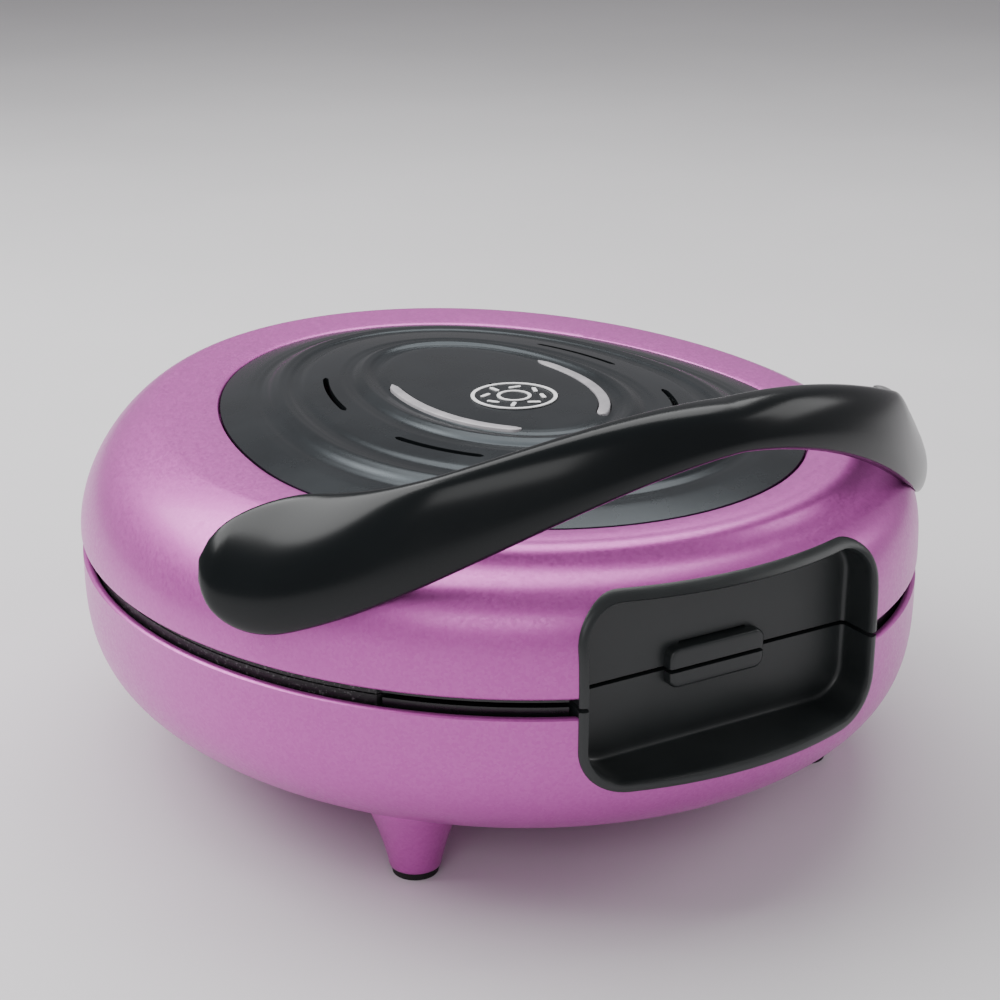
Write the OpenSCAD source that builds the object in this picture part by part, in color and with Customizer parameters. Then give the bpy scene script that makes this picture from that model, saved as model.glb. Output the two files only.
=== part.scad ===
// Donut maker: clamshell kitchen appliance with an arched handle and a recessed front latch.
// Frame: X to the right, -Y to the front, +Z up, origin on the floor under the middle of the whole appliance.
// Modules draw about the middle of the oval body; at_body() shifts them into the frame.

/* [Body] */
// Width of the oval body
body_w = 250; // [244:1:256]
// Length of the oval body, front to back
body_l = 274; // [264:1:284]
// Height of the base shell's rim above the floor
base_top = 63.5; // [62:0.5:64]
// Height of the lid shell's rim above the floor
lid_bottom = 68.5; // [68:0.5:70]
// Height of the base shell's underside
base_bottom = 11; // [10:0.5:13]
// Height of the lid's flat shoulder ring
lid_top = 103.2; // [102:0.2:104]
// Wall thickness of both shells
wall = 2.5; // [2:0.1:3]

/* [Top panel] */
// Half width of the egg-shaped panel
panel_a = 82.8; // [80:0.2:84]
// Gap between the panel and the lid shell
panel_gap = 0.8; // [0.5:0.1:1.2]
// Height of the panel's middle
panel_top = 109.8; // [108:0.2:111]
// Thickness of the panel
panel_t = 2.2; // [1.8:0.1:2.6]

/* [Front recess] */
// Half width of the recess opening
recess_w = 47.6; // [44:0.2:50]
// Bottom of the recess opening
recess_z0 = 41.5; // [40:0.5:44]
// Top of the recess opening
recess_z1 = 95.5; // [93:0.5:96]
// Corner radius of the recess opening
recess_r = 12; // [8:0.5:15]
// Distance of the recess's back panel from the body's middle
panel_y = 116.5; // [115:0.5:118]

/* [Handle] */
// Height of the handle's crest centre
grip_z = 131.8; // [128:0.2:134]
// Angle each side of the front at which the handle ends
grip_angle = 65; // [60:1:68]

/* [Baking plates] */
// Radius of a donut ring's centre line
ring_r = 19; // [17:0.5:20]
// Radius of the donut ring's section
ring_s = 11; // [9:0.5:11.5]
// Distance between neighbouring donut rings
ring_pitch = 66; // [65:0.5:67]

/* [Hinge] */
// Distance of the hinge axis behind the body's middle
hinge_y = 140.5; // [140:0.5:142]
// Outer radius of the hinge knuckles
knuckle_r = 5.5; // [5:0.1:5.6]
// Radius of the hinge pin
pin_r = 2.5; // [2:0.1:2.8]

/* [Hidden] */
$fn = 72;
eps = 0.01;
a = body_w / 2;
b = body_l / 2;
stretch = b / a;
split_z = (base_top + lid_bottom) / 2;
body_y = -4;
foot_spots = [[67.6, -74.8], [-67.6, -74.8], [67.6, 86], [-67.6, 86]];
lid_spots = [[72, -80], [-72, -80], [72, 84], [-72, 84]];
plate_screw_angles = [50, -50, 128, -128];
grip_screw_angles = [58, 63, -58, -63];
ring_y = 12;
ring_spots = concat([[0, ring_y]],
    [for (k = [0:5]) [ring_pitch * cos(60 * k), ring_y + ring_pitch * sin(60 * k)]]);
front_chord = -93;
shoulder = 26;
shoulder_z0 = 73;
shoulder_n = 2.3;
latch_y = 8 - panel_y;
latch_z = 80;
gland_z = 47;
lead_x = 11.5;
pink = [0.74, 0.38, 0.67];
black = [0.10, 0.11, 0.12];
steel = [0.70, 0.70, 0.72];

module at_body() {
    translate([0, body_y, 0]) children();
}

// Solid oval prism whose outline lies d inside the body's outline
module oval(d, z0, z1) {
    translate([0, 0, z0]) scale([1, (b - d) / (a - d), 1]) cylinder(r = a - d, h = z1 - z0, $fn = 96);
}

// Mirrors a lower piece into its place above the split
module upper() {
    translate([0, 0, 2 * split_z]) mirror([0, 0, 1]) children();
}

// Puts children at an angle from the front on the body's outline, their Z axis pointing outwards
module on_outline(angle, z) {
    x = a * sin(angle);
    y = -b * cos(angle);
    translate([x, y, z]) rotate([0, 90, atan2(y / b / b, x / a / a)]) children();
}

// Point on the egg of half width w at an angle from the front; its eggs are nested and point backwards
function egg(w, t) = [w * sin(t),
    5.5 - 0.26 * w - cos(t) * (cos(t) > 0 ? 0.83 * w + 20 : 1.26 * w + 13.5)];

module egg_disc(w, z0, z1) {
    translate([0, 0, z0]) linear_extrude(z1 - z0) polygon([for (t = [0:7.5:352.5]) egg(w, t)]);
}

// Strip that follows the egg of half width w between two angles
module egg_strip(w, width, t0, t1, z0, z1) {
    steps = 12;
    angles = [for (i = [0:steps]) t0 + (t1 - t0) * i / steps];
    translate([0, 0, z0]) linear_extrude(z1 - z0) polygon(concat(
        [for (t = angles) egg(w + width / 2, t)],
        [for (i = [steps:-1:0]) egg(w - width / 2, angles[i])]));
}

// Turns a section about Z and stretches it to the oval, a quarter at a time
module oval_turned() {
    for (quarter = [0:90:270])
        scale([1, stretch, 1]) rotate([0, 0, quarter]) rotate_extrude(angle = 90, $fn = 96) children();
}

// Bowl under the split: a super-ellipse turned about Z and stretched to the oval
module bowl(r, top, bottom) {
    oval_turned() polygon(concat([[0, top]],
            [for (t = [0:7.5:82.5]) [r * pow(cos(t), 0.62), top - (top - bottom) * pow(sin(t), 0.5)]],
            [[0, bottom]]));
}

// Dome above the split: upright side, rounded shoulder and a flat top
module dome(r, bottom, top) {
    oval_turned() polygon(concat([[0, bottom], [r, bottom]],
            [for (t = [0:9:90]) [r - shoulder * (1 - pow(cos(t), 2 / shoulder_n)),
                shoulder_z0 + (top - shoulder_z0) * pow(sin(t), 2 / shoulder_n)]],
            [[0, top]]));
}

module rounded_slab(half_w, z0, z1, r, y0, y1) {
    h = z1 - z0;
    translate([0, y1, (z0 + z1) / 2]) rotate([90, 0, 0]) linear_extrude(y1 - y0) union() {
        square([2 * half_w - 2 * r, h], center = true);
        square([2 * half_w, h - 2 * r], center = true);
        for (sx = [-1, 1], sz = [-1, 1])
            translate([sx * (half_w - r), sz * (h / 2 - r)]) circle(r = r);
    }
}

module recess_cut() {
    rounded_slab(recess_w, recess_z0, recess_z1, recess_r, -150, 5 - panel_y);
}

module hinge_clearance() {
    translate([-41, hinge_y, split_z]) rotate([0, 90, 0]) cylinder(r = 6.3, h = 82);
}

module screw(length, r, head_r, head_h) {
    cylinder(r = r, h = length);
    translate([0, 0, -head_h]) difference() {
        cylinder(r = head_r, h = head_h);
        translate([-0.5, -head_r * 0.7, -eps]) cube([1, head_r * 1.4, head_h * 0.5]);
        translate([-head_r * 0.7, -0.5, -eps]) cube([head_r * 1.4, 1, head_h * 0.5]);
    }
}

module base_shell() {
    color(pink) at_body() difference() {
        union() {
            difference() {
                union() {
                    bowl(a, base_top, base_bottom);
                    for (p = foot_spots) translate([p[0], p[1], 2]) cylinder(r1 = 7.2, r2 = 12, h = 30);
                }
                bowl(a - wall, base_top + eps, base_bottom + wall);
                translate([0, 0, base_top]) cylinder(r = 200, h = 30);
            }
            for (p = foot_spots) translate([p[0], p[1], 12]) cylinder(r = 6, h = 17);
        }
        for (p = foot_spots) translate([p[0], p[1], 0]) {
            cylinder(r = 4.3, h = 12);
            cylinder(r = 2.3, h = 40);
        }
        recess_cut();
        hinge_clearance();
        for (x = [-40.8, 21.2]) translate([x, 122, 56.6]) cube([19.6, 30, 20]);
        translate([0, 120, gland_z]) rotate([-90, 0, 0]) cylinder(r = 6.5, h = 20);
        for (x = [-30:10:30]) translate([x - 1.5, -18, base_bottom - 1]) cube([3, 36, 6]);
    }
}

module foot_pads() {
    color([0.06, 0.06, 0.06]) at_body() for (p = foot_spots) translate([p[0], p[1], 0]) {
        cylinder(r1 = 6.4, r2 = 6.9, h = 2);
        cylinder(r = 4.1, h = 7);
    }
}

module base_screws() {
    color(steel) at_body() for (p = foot_spots) translate([p[0], p[1], 12]) screw(32, 1.95, 3.7, 2.6);
}

// Ring that carries a baking plate, with its front shelf, rim lip, screw legs and hinge knuckles
module frame_ring(spots, leg_bottom, knuckles) {
    difference() {
        union() {
            difference() {
                oval(3.6, 57, 62.8);
                oval(17, 56, 64);
            }
            intersection() {
                oval(3.6, 60, 62.8);
                translate([-150, -150, 50]) cube([300, 150 + front_chord - 1, 30]);
            }
            intersection() {
                difference() {
                    oval(3.6, 62.7, 65.3);
                    oval(5.6, 62, 66);
                }
                translate([-150, -150, 50]) cube([300, 150 + front_chord - 1, 30]);
            }
            for (p = spots) {
                translate([p[0], p[1], leg_bottom]) cylinder(r = 5, h = 62.8 - leg_bottom);
                translate([p[0], p[1], 50]) rotate([0, 0, atan2(p[1], p[0])])
                    translate([3, -2, 0]) cube([13, 4, 12.8]);
            }
            for (k = knuckles) {
                translate([k[0], 121, 57]) cube([k[1] - k[0], hinge_y - 121, 5.8]);
                translate([k[0], hinge_y, split_z]) rotate([0, 90, 0])
                    cylinder(r = knuckle_r, h = k[1] - k[0]);
            }
        }
        for (p = spots) translate([p[0], p[1], leg_bottom - 1]) cylinder(r = 2, h = 18);
        for (t = plate_screw_angles) on_outline(t, 55) translate([-20, 0, -10]) rotate([0, 90, 0])
            cylinder(r = 1.5, h = 40);
        rounded_slab(recess_w + 0.4, recess_z0 - 0.4, recess_z1 + 0.4, recess_r, -150, 3.5 - panel_y);
        translate([-22, -panel_y, 40]) cube([44, 20, 60]);
    }
}

module base_frame() {
    color(black) at_body() difference() {
        frame_ring(foot_spots, 29, [[-40, -22], [22, 40]]);
        translate([-50, hinge_y, split_z]) rotate([0, 90, 0]) cylinder(r = pin_r + 0.03, h = 100);
        translate([-21.6, hinge_y - 12, 50]) cube([43.2, 30, 30]);
    }
}

module lid_frame() {
    color(black) at_body() difference() {
        upper() frame_ring(lid_spots, 48, [[-21.2, 21.2]]);
        translate([-50, hinge_y, split_z]) rotate([0, 90, 0]) cylinder(r = pin_r + 0.05, h = 100);
        for (x = [-41, 21.6]) translate([x, hinge_y - 7.4, 50]) cube([19.4, 30, 40]);
        for (p = lid_spots) translate([p[0], p[1], 68]) cylinder(r = 4, h = 4);
    }
}

module hinge_pin() {
    color(steel) at_body() translate([-40.5, hinge_y, split_z]) rotate([0, 90, 0]) {
        cylinder(r = pin_r, h = 81);
        translate([0, 0, -1.5]) cylinder(r = 4, h = 1.5);
        translate([0, 0, 81]) cylinder(r = 4, h = 1.5);
    }
}

// Recess insert before it is parted: open box with a back panel, its rim 1 mm proud of the shells
module recess_box() {
    difference() {
        intersection() {
            rounded_slab(recess_w - 0.3, recess_z0 + 0.3, recess_z1 - 0.3, recess_r - 0.3, -142, 2.5 - panel_y);
            union() {
                oval(-1, 30, lid_bottom);
                dome(a + 1, lid_bottom - 1, lid_top);
            }
        }
        rounded_slab(recess_w - 2.8, recess_z0 + 2.8, recess_z1 - 2.8, recess_r - 2.8, -150, -panel_y);
    }
}

// Half of the pill-shaped finger lug, cut at the split
module lug(z0, z1, y0, y1, half_w) {
    intersection() {
        rounded_slab(half_w, split_z - 5.2, split_z + 5.2, 4.5, y0, y1);
        translate([-20, -150, z0]) cube([40, 100, z1 - z0]);
    }
}

module base_bezel() {
    color([0.17, 0.18, 0.19]) at_body() {
        intersection() {
            recess_box();
            translate([-60, -150, 30]) cube([120, 60, split_z - 0.5 - 30]);
        }
        lug(split_z - 8, split_z - 0.5, -panel_y - 3, eps - panel_y, 14.5);
        translate([-8, 2.5 - panel_y - eps, 56]) cube([16, 1.2, 4]);
    }
}

module lid_bezel() {
    color([0.17, 0.18, 0.19]) at_body() difference() {
        union() {
            intersection() {
                recess_box();
                translate([-60, -150, split_z + 0.5]) cube([120, 60, 60]);
            }
            for (x = [-19, 16]) {
                translate([x, 2.5 - panel_y - eps, latch_z - 4]) cube([3, 6.5, 8]);
                translate([x, latch_y, latch_z]) rotate([0, 90, 0]) cylinder(r = 4, h = 3);
            }
        }
        lug(split_z, split_z + 8, -panel_y - 10, 5 - panel_y, 15);
        translate([-20, latch_y, latch_z]) rotate([0, 90, 0]) cylinder(r = 1.53, h = 40);
    }
}

module latch_pin() {
    color(steel) at_body() translate([-19, latch_y, latch_z]) rotate([0, 90, 0]) cylinder(r = 1.5, h = 38);
}

module latch_spring() {
    color(steel) at_body() translate([0, latch_y, latch_z]) {
        rotate([0, 90, 0]) rotate_extrude($fn = 32)
            for (k = [-4:4]) translate([2.5, 0.7 * k]) circle(r = 0.4, $fn = 16);
        for (s = [-1, 1]) translate([s * 2.8, 0, s > 0 ? 2.3 : -7]) cylinder(r = 0.3, h = 4.7);
    }
}

// Lever behind the lid's recess panel: finger lug in front, hook below, hub on the latch pin
module latch_lever() {
    back = 2.5 - panel_y;
    color([0.13, 0.14, 0.15]) at_body() difference() {
        union() {
            lug(split_z + 0.6, split_z + 8, -panel_y - 3, back + 3, 14.4);
            translate([-12, back + 0.6, split_z + 0.6]) cube([24, 2.4, latch_z - split_z - 0.6]);
            translate([-14, latch_y, latch_z]) rotate([0, 90, 0]) cylinder(r = 3.4, h = 28);
            translate([-6, back + 1.6, 54]) cube([12, 2, split_z + 2 - 54]);
        }
        translate([-20, latch_y, latch_z]) rotate([0, 90, 0]) cylinder(r = 1.55, h = 40);
        translate([-3.6, latch_y - 3.3, latch_z - 9]) cube([7.2, 8, 13]);
    }
}

// Cast plate with seven half-ring cavities
module plate() {
    difference() {
        union() {
            intersection() {
                oval(3.4, 63, 65.8);
                translate([-150, front_chord, 50]) cube([300, 300, 30]);
            }
            for (p = ring_spots) translate([p[0], p[1], 65.8]) difference() {
                rotate_extrude($fn = 48) translate([ring_r, 0]) circle(r = ring_s + 2.3, $fn = 48);
                translate([-50, -50, -2]) cube([100, 100, 40]);
            }
        }
        for (p = ring_spots) translate([p[0], p[1], 65.8])
            rotate_extrude($fn = 48) translate([ring_r, 0]) circle(r = ring_s, $fn = 48);
        for (t = plate_screw_angles) on_outline(t, 55) translate([-20, 0, -10]) rotate([0, 90, 0])
            cylinder(r = 1.8, h = 40);
    }
}

module plate_screws() {
    for (t = plate_screw_angles) on_outline(t, 65.8) translate([-0.1, 0, -10]) rotate([0, 90, 0])
        translate([0, 0, 0.2]) cylinder(r = 1.45, h = 8);
}

module lower_plate() {
    color([0.20, 0.20, 0.21]) at_body() plate();
}

module upper_plate() {
    color([0.20, 0.20, 0.21]) at_body() upper() plate();
}

module lower_plate_screws() {
    color(steel) at_body() plate_screws();
}

module upper_plate_screws() {
    color(steel) at_body() upper() plate_screws();
}

// Sheathed heating ring with two legs that turn down through the reflector
module element() {
    color([0.55, 0.50, 0.46]) translate([0, ring_y, 48]) {
        rotate([0, 0, 100]) rotate_extrude(angle = 340) translate([ring_pitch, 0]) circle(r = 3.3, $fn = 24);
        for (s = [-1, 1]) rotate([0, 0, 90 + 10 * s]) translate([ring_pitch, 0, -14]) {
            cylinder(r = 3.3, h = 14);
            translate([0, 0, -3]) cylinder(r = 1.5, h = 3.1);
        }
    }
}

module lower_element() {
    at_body() element();
}

module upper_element() {
    at_body() upper() element();
}

module reflector() {
    color([0.78, 0.78, 0.76]) translate([0, ring_y, 38]) difference() {
        cylinder(r1 = 84, r2 = 88, h = 12);
        translate([0, 0, 0.8]) cylinder(r1 = 83.2, r2 = 87.3, h = 11.3);
        translate([0, 0, -1]) cylinder(r = 9, h = 4);
        for (s = [-1, 1]) rotate([0, 0, 90 + 10 * s]) translate([ring_pitch, 0, -1]) cylinder(r = 4, h = 4);
    }
}

module lower_reflector() {
    at_body() reflector();
}

module upper_reflector() {
    at_body() upper() reflector();
}

module thermostat() {
    color([0.80, 0.78, 0.70]) translate([0, ring_y, 41]) {
        cylinder(r = 7.5, h = 9.5);
        cylinder(r = 4.5, h = 21.9);
        for (s = [-1, 1]) translate([s * 4 - 1.5, -0.4, -4]) cube([3, 0.8, 4.2]);
    }
}

module lower_thermostat() {
    at_body() thermostat();
}

module upper_thermostat() {
    at_body() upper() thermostat();
}

module thermal_fuse() {
    color([0.85, 0.82, 0.72]) at_body() translate([-10, 40, 34]) rotate([0, 90, 0]) {
        cylinder(r = 2.6, h = 20);
        translate([0, 0, -8]) cylinder(r = 0.6, h = 36);
    }
}

module terminal_block() {
    color([0.88, 0.88, 0.84]) at_body() difference() {
        translate([-15, 88, 24]) cube([30, 13, 11]);
        for (x = [-lead_x, 0, lead_x]) translate([x, 80, 29.7]) rotate([-90, 0, 0]) cylinder(r = 1.8, h = 30);
        for (x = [-lead_x, 0, lead_x], y = [91.5, 97.5]) translate([x, y, 31]) cylinder(r = 1.9, h = 10);
    }
}

module element_wires() {
    color([0.70, 0.10, 0.08]) at_body() for (s = [-1, 1]) translate([s * lead_x, 75, 29.7])
        rotate([-90, 0, 0]) cylinder(r = 1.2, h = 18);
}

module cord_gland() {
    color([0.08, 0.08, 0.08]) at_body() translate([0, 122, gland_z]) rotate([-90, 0, 0]) difference() {
        union() {
            cylinder(r = 6.3, h = 17);
            translate([0, 0, 15.2]) cylinder(r1 = 9.5, r2 = 8.5, h = 3.8);
        }
        translate([0, 0, -1]) cylinder(r = 3.6, h = 22);
    }
}

module gland_nut() {
    color([0.12, 0.12, 0.12]) at_body() translate([0, 126.2, gland_z]) rotate([-90, 0, 0]) difference() {
        cylinder(r = 8.6, h = 5, $fn = 6);
        translate([0, 0, -1]) cylinder(r = 6.35, h = 10);
    }
}

module lid_shell() {
    color(pink) at_body() difference() {
        union() {
            difference() {
                dome(a, lid_bottom, lid_top);
                dome(a - wall, lid_bottom - eps, lid_top - wall);
            }
            for (p = lid_spots) translate([p[0], p[1], 84]) cylinder(r = 5, h = 16.5);
            for (t = grip_screw_angles) on_outline(t, 88) translate([0, 0, -9]) cylinder(r = 4, h = 4);
            difference() {
                egg_disc(panel_a + panel_gap + 2.4, 95.9, 101.5);
                egg_disc(panel_a - 4, 95, 103);
            }
        }
        egg_disc(panel_a + panel_gap, 97.4, 120);
        for (p = lid_spots) translate([p[0], p[1], 80]) cylinder(r = 2, h = 18);
        for (t = grip_screw_angles) on_outline(t, 88) translate([0, 0, -15]) cylinder(r = 2.3, h = 20);
        recess_cut();
        hinge_clearance();
        translate([-21.8, 122, 60]) cube([43.6, 30, 15.6]);
    }
}

module lid_screws() {
    color(steel) at_body() for (p = lid_spots) translate([p[0], p[1], 83.9 - 12]) screw(22, 1.95, 3.7, 2.6);
}

// Domed panel with two ripples, vent slots and openings for the indicator windows
module top_panel() {
    edge = 105;
    ripples = [[0, 0], [24, 0.63], [28, 0], [31, -0.7], [36, 0.5], [41, -0.5], [56, 0], [60, -0.6], [66, 0.7],
        [72, -0.3], [edge, 0]];
    function crown(r) = panel_top - 8.4 * r * r / edge / edge;
    color([0.22, 0.23, 0.25]) at_body() difference() {
        union() {
            intersection() {
                translate([0, -2, 0]) scale([0.8, 1, 1]) rotate_extrude($fn = 96) polygon(concat(
                    [for (q = ripples) [q[0] * 1.2, crown(q[0] * 1.2) + q[1]]],
                    [for (i = [len(ripples) - 1:-1:0])
                        [ripples[i][0] * 1.2, crown(ripples[i][0] * 1.2) + ripples[i][1] - panel_t]]));
                egg_disc(panel_a, 90, 120);
            }
            for (s = [-1, 1]) translate([s * 14, -3, 98.7]) cylinder(r = 3, h = 9.5);
        }
        for (s = [-1, 1]) mirror([s > 0 ? 0 : 1, 0, 0]) {
            egg_strip(28, 4.6, 27, 112, 90, 120);
            egg_strip(48, 1.8, 42, 73, 90, 120);
            egg_strip(48, 1.8, 99, 127, 90, 120);
        }
    }
}

module window() {
    egg_strip(28, 4.2, 27.5, 111.5, 105.4, 108.7);
}

module power_window() {
    color([0.78, 0.74, 0.76]) at_body() mirror([1, 0, 0]) window();
}

module ready_window() {
    color([0.78, 0.74, 0.76]) at_body() window();
}

module indicator_board() {
    color([0.12, 0.35, 0.18]) at_body() translate([-34, -9, 97]) cube([68, 12, 1.6]);
}

module indicator_lamps() {
    color([0.9, 0.3, 0.2]) at_body() for (s = [-1, 1]) translate([s * 27, -3, 98.65]) {
        cylinder(r = 2.5, h = 3);
        translate([0, 0, 3]) sphere(r = 2.5, $fn = 32);
    }
}

module badge() {
    color([0.9, 0.9, 0.9]) at_body() translate([0, -13, panel_top]) difference() {
        cylinder(r = 13, h = 0.4);
        translate([0, 0, -1]) cylinder(r = 5, h = 3);
    }
}

// End rounding, half-height, mid-height, depth and half-thickness of the handle at share u of its sweep
function grip_cap(u) = u < 0.86 ? 1 : sqrt(max(0.02, 1 - pow((u - 0.86) / 0.175, 2)));
function grip_half(u) = 6.1 + 12.5 * pow(u, 1.17);
function grip_mid(u) = grip_z - 37.5 * sin(90 * min(1, pow(u, 1.9))) + 2 * (1 - grip_cap(u));
function grip_depth(u) = 15.4 - 17.9 * pow(min(u, 1), 1.8);
function grip_thick(u) = (6.3 - 3.8 * min(u, 1)) * sqrt(grip_cap(u));
// Share of the inward lean that the handle's face takes up towards its ends
function grip_lean(u) = let (w = min(1, max(0, (u - 0.6) / 0.32))) w * w * (3 - 2 * w);
// Depth of the lid's surface behind the outline at height z
function lid_depth(z) = z < shoulder_z0 ? 0 : z > lid_top - 0.5 ? 99 :
    shoulder * (1 - pow(1 - pow((z - shoulder_z0) / (lid_top - shoulder_z0), shoulder_n), 1 / shoulder_n));
function outline_point(t, d, z) = let (x = a * sin(t), y = -b * cos(t), nx = x / a / a, ny = y / b / b,
    n = norm([nx, ny])) [x - d * nx / n, y - d * ny / n, z];
// Share by which the handle's inner face reaches for the lid, near its ends and below the shoulder
function grip_seat(u, z) = min(1, max(0, (u - 0.8) / 0.08)) * min(1, max(0, (99 - z) / 6));
function grip_point(v, f) = let (u = abs(v), s = grip_cap(u) * sin(f), w = grip_lean(u),
    z = grip_mid(u) + grip_half(u) * s, seat = lid_depth(z) - 0.6,
    d = grip_depth(u) + (2.5 + 5 * w) * s + 5.3 * w * s * s + grip_thick(u) * cos(f),
    reach = max(0, seat - d) * grip_seat(u, z) * min(1, 2.5 * max(0, cos(f))))
    outline_point(v * grip_angle, min(d + reach, seat + min(0, 1.6 * cos(f))), z);

module handle() {
    stations = 44;
    sides = 20;
    grip = [for (i = [0:stations], k = [0:sides - 1])
        grip_point(1.034 * (2 * i / stations - 1), 360 * k / sides)];
    skin = [for (i = [0:stations - 1], k = [0:sides - 1])
        [i * sides + k, (i + 1) * sides + k, (i + 1) * sides + (k + 1) % sides, i * sides + (k + 1) % sides]];
    ends = [[for (k = [0:sides - 1]) k], [for (k = [sides - 1:-1:0]) stations * sides + k]];
    color([0.05, 0.05, 0.06]) at_body() difference() {
        polyhedron(points = grip, faces = concat(skin, ends), convexity = 6);
        for (t = grip_screw_angles) on_outline(t, 88) translate([0, 0, -8]) cylinder(r = 2, h = 9.2);
    }
}

module handle_screws() {
    color(steel) at_body() for (t = grip_screw_angles)
        on_outline(t, 88) translate([0, 0, -9]) screw(9.5, 1.95, 3.6, 2.4);
}

base_shell();
foot_pads();
base_screws();
base_frame();
base_bezel();
lower_plate();
lower_plate_screws();
lower_element();
lower_reflector();
lower_thermostat();
thermal_fuse();
terminal_block();
element_wires();
cord_gland();
gland_nut();
hinge_pin();
lid_shell();
lid_frame();
lid_screws();
lid_bezel();
upper_plate();
upper_plate_screws();
upper_element();
upper_reflector();
upper_thermostat();
top_panel();
power_window();
ready_window();
indicator_board();
indicator_lamps();
badge();
handle();
handle_screws();
latch_pin();
latch_spring();
latch_lever();
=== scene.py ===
import math

import bmesh
import bpy
import numpy as np
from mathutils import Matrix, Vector


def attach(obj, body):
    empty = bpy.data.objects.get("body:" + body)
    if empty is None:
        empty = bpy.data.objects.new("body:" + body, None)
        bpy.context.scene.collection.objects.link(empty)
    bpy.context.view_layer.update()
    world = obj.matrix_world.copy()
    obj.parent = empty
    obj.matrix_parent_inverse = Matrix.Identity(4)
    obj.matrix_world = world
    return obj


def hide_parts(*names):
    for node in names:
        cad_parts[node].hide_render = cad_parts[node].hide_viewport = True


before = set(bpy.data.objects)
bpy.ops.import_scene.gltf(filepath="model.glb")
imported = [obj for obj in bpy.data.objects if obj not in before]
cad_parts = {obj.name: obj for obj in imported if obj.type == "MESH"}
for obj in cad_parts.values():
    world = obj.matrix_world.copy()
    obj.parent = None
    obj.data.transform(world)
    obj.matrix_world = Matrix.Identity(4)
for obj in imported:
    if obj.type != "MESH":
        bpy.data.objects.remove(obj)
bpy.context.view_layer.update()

MM = 0.001
# Everything below is drawn in millimetres about the middle of the oval body, which lies here in
# the frame.
BODY_Y = -4.0

# Half width and half length of the oval, and the shells' heights
HALF_W = 124.6
HALF_L = 136.6
BOWL_BOTTOM = 11.2
BASE_TOP = 63.5
SPLIT_Z = 66.0
SHOULDER_START = 70.0
LID_TOP = 103.2
# How far the shoulder reaches in from the outline at the sides, the front and the back
SHOULDER_SIDE = 35.0
SHOULDER_FRONT = 20.0
SHOULDER_BACK = 17.0
# The cove over the front fades out past this angle from the front, over this many degrees
COVE_ANGLE = 44
COVE_FADE = 30
# Height of the flat ring round the top panel
TOP_RING_Z = 102.35

# Top panel: half width of its egg, height of its middle, fall to its edge
PANEL_EDGE = 82.8
PANEL_TOP = 109.8
PANEL_DROP = 7.6

# Front recess: distance of its back wall from the middle, half width, heights, corner radius
PANEL_Y = 116.5
RECESS_W = 46.9
RECESS_Z = (41.9, 94.3)
RECESS_R = 12.5
RECESS_PLAY = 0.35

THETAS = [2 * math.pi * k / 288 for k in range(288)]


# ---------------------------------------------------------------- helpers

def clamp(v, lo=0.0, hi=1.0):
    return max(lo, min(hi, v))


def smooth(v):
    v = clamp(v)
    return v * v * (3 - 2 * v)


def lerp(p, q, t):
    return p + (q - p) * t


def mesh_object(name, verts, faces, material, body, replaced=(), slot=None, angle=None):
    """A mesh from millimetre points about the body's middle."""
    data = bpy.data.meshes.new(name)
    data.from_pydata([(x * MM, (y + BODY_Y) * MM, z * MM) for x, y, z in verts], [], faces)
    data.validate()
    bm = bmesh.new()
    bm.from_mesh(data)
    bmesh.ops.remove_doubles(bm, verts=bm.verts, dist=1e-6)
    bmesh.ops.recalc_face_normals(bm, faces=bm.faces)
    bm.to_mesh(data)
    bm.free()
    obj = bpy.data.objects.new(name, data)
    bpy.context.scene.collection.objects.link(obj)
    data.materials.append(material)
    shade(obj, angle)
    if body:
        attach(obj, body)
    if replaced:
        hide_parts(*replaced)
    return obj


def shade(obj, angle=None):
    """Smooth shading, with edges sharper than angle (degrees) kept crisp."""
    data = obj.data
    for p in data.polygons:
        p.use_smooth = True
    bm = bmesh.new()
    bm.from_mesh(data)
    limit = math.radians(angle if angle else 180)
    for e in bm.edges:
        e.smooth = not (len(e.link_faces) == 2 and e.calc_face_angle(0) > limit)
    bm.to_mesh(data)
    bm.free()


def rows_to_faces(count, size, wrap_col):
    """Quads over count closed rows of size points; wrap_col joins the last row to the first."""
    faces = []
    for i in range(count if wrap_col else count - 1):
        for j in range(size):
            a, b = i * size + j, i * size + (j + 1) % size
            c, d = ((i + 1) % count) * size + (j + 1) % size, ((i + 1) % count) * size + j
            faces.append((a, b, c, d))
    return faces


def loft(name, rows, material, body, caps=False, wrap_col=False, **kw):
    """A skin over closed rows of points, with flat ends where caps is set."""
    size = len(rows[0])
    verts = [p for row in rows for p in row]
    faces = rows_to_faces(len(rows), size, wrap_col)
    if caps:
        faces.append(tuple(range(size))[::-1])
        faces.append(tuple(range((len(rows) - 1) * size, len(rows) * size)))
    return mesh_object(name, verts, faces, material, body, **kw)


def boolean(obj, cutters, operation="DIFFERENCE"):
    """Applies exact booleans and removes the cutters."""
    for cutter in cutters:
        mod = obj.modifiers.new("cut", "BOOLEAN")
        mod.operation = operation
        mod.solver = "EXACT"
        mod.object = cutter
    dg = bpy.context.evaluated_depsgraph_get()
    data = bpy.data.meshes.new_from_object(obj.evaluated_get(dg))
    obj.modifiers.clear()
    old = obj.data
    obj.data = data
    bpy.data.meshes.remove(old)
    for cutter in cutters:
        bpy.data.objects.remove(cutter)


def box_cutter(lo, hi):
    """A box between two corners, for use in boolean."""
    x, y, z = zip(lo, hi)
    verts = [(x[i], y[j], z[k]) for i in (0, 1) for j in (0, 1) for k in (0, 1)]
    faces = [(0, 1, 3, 2), (4, 6, 7, 5), (0, 4, 5, 1), (2, 3, 7, 6), (0, 2, 6, 4), (1, 5, 7, 3)]
    return mesh_object("cutter", verts, faces, plain, None)


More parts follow.
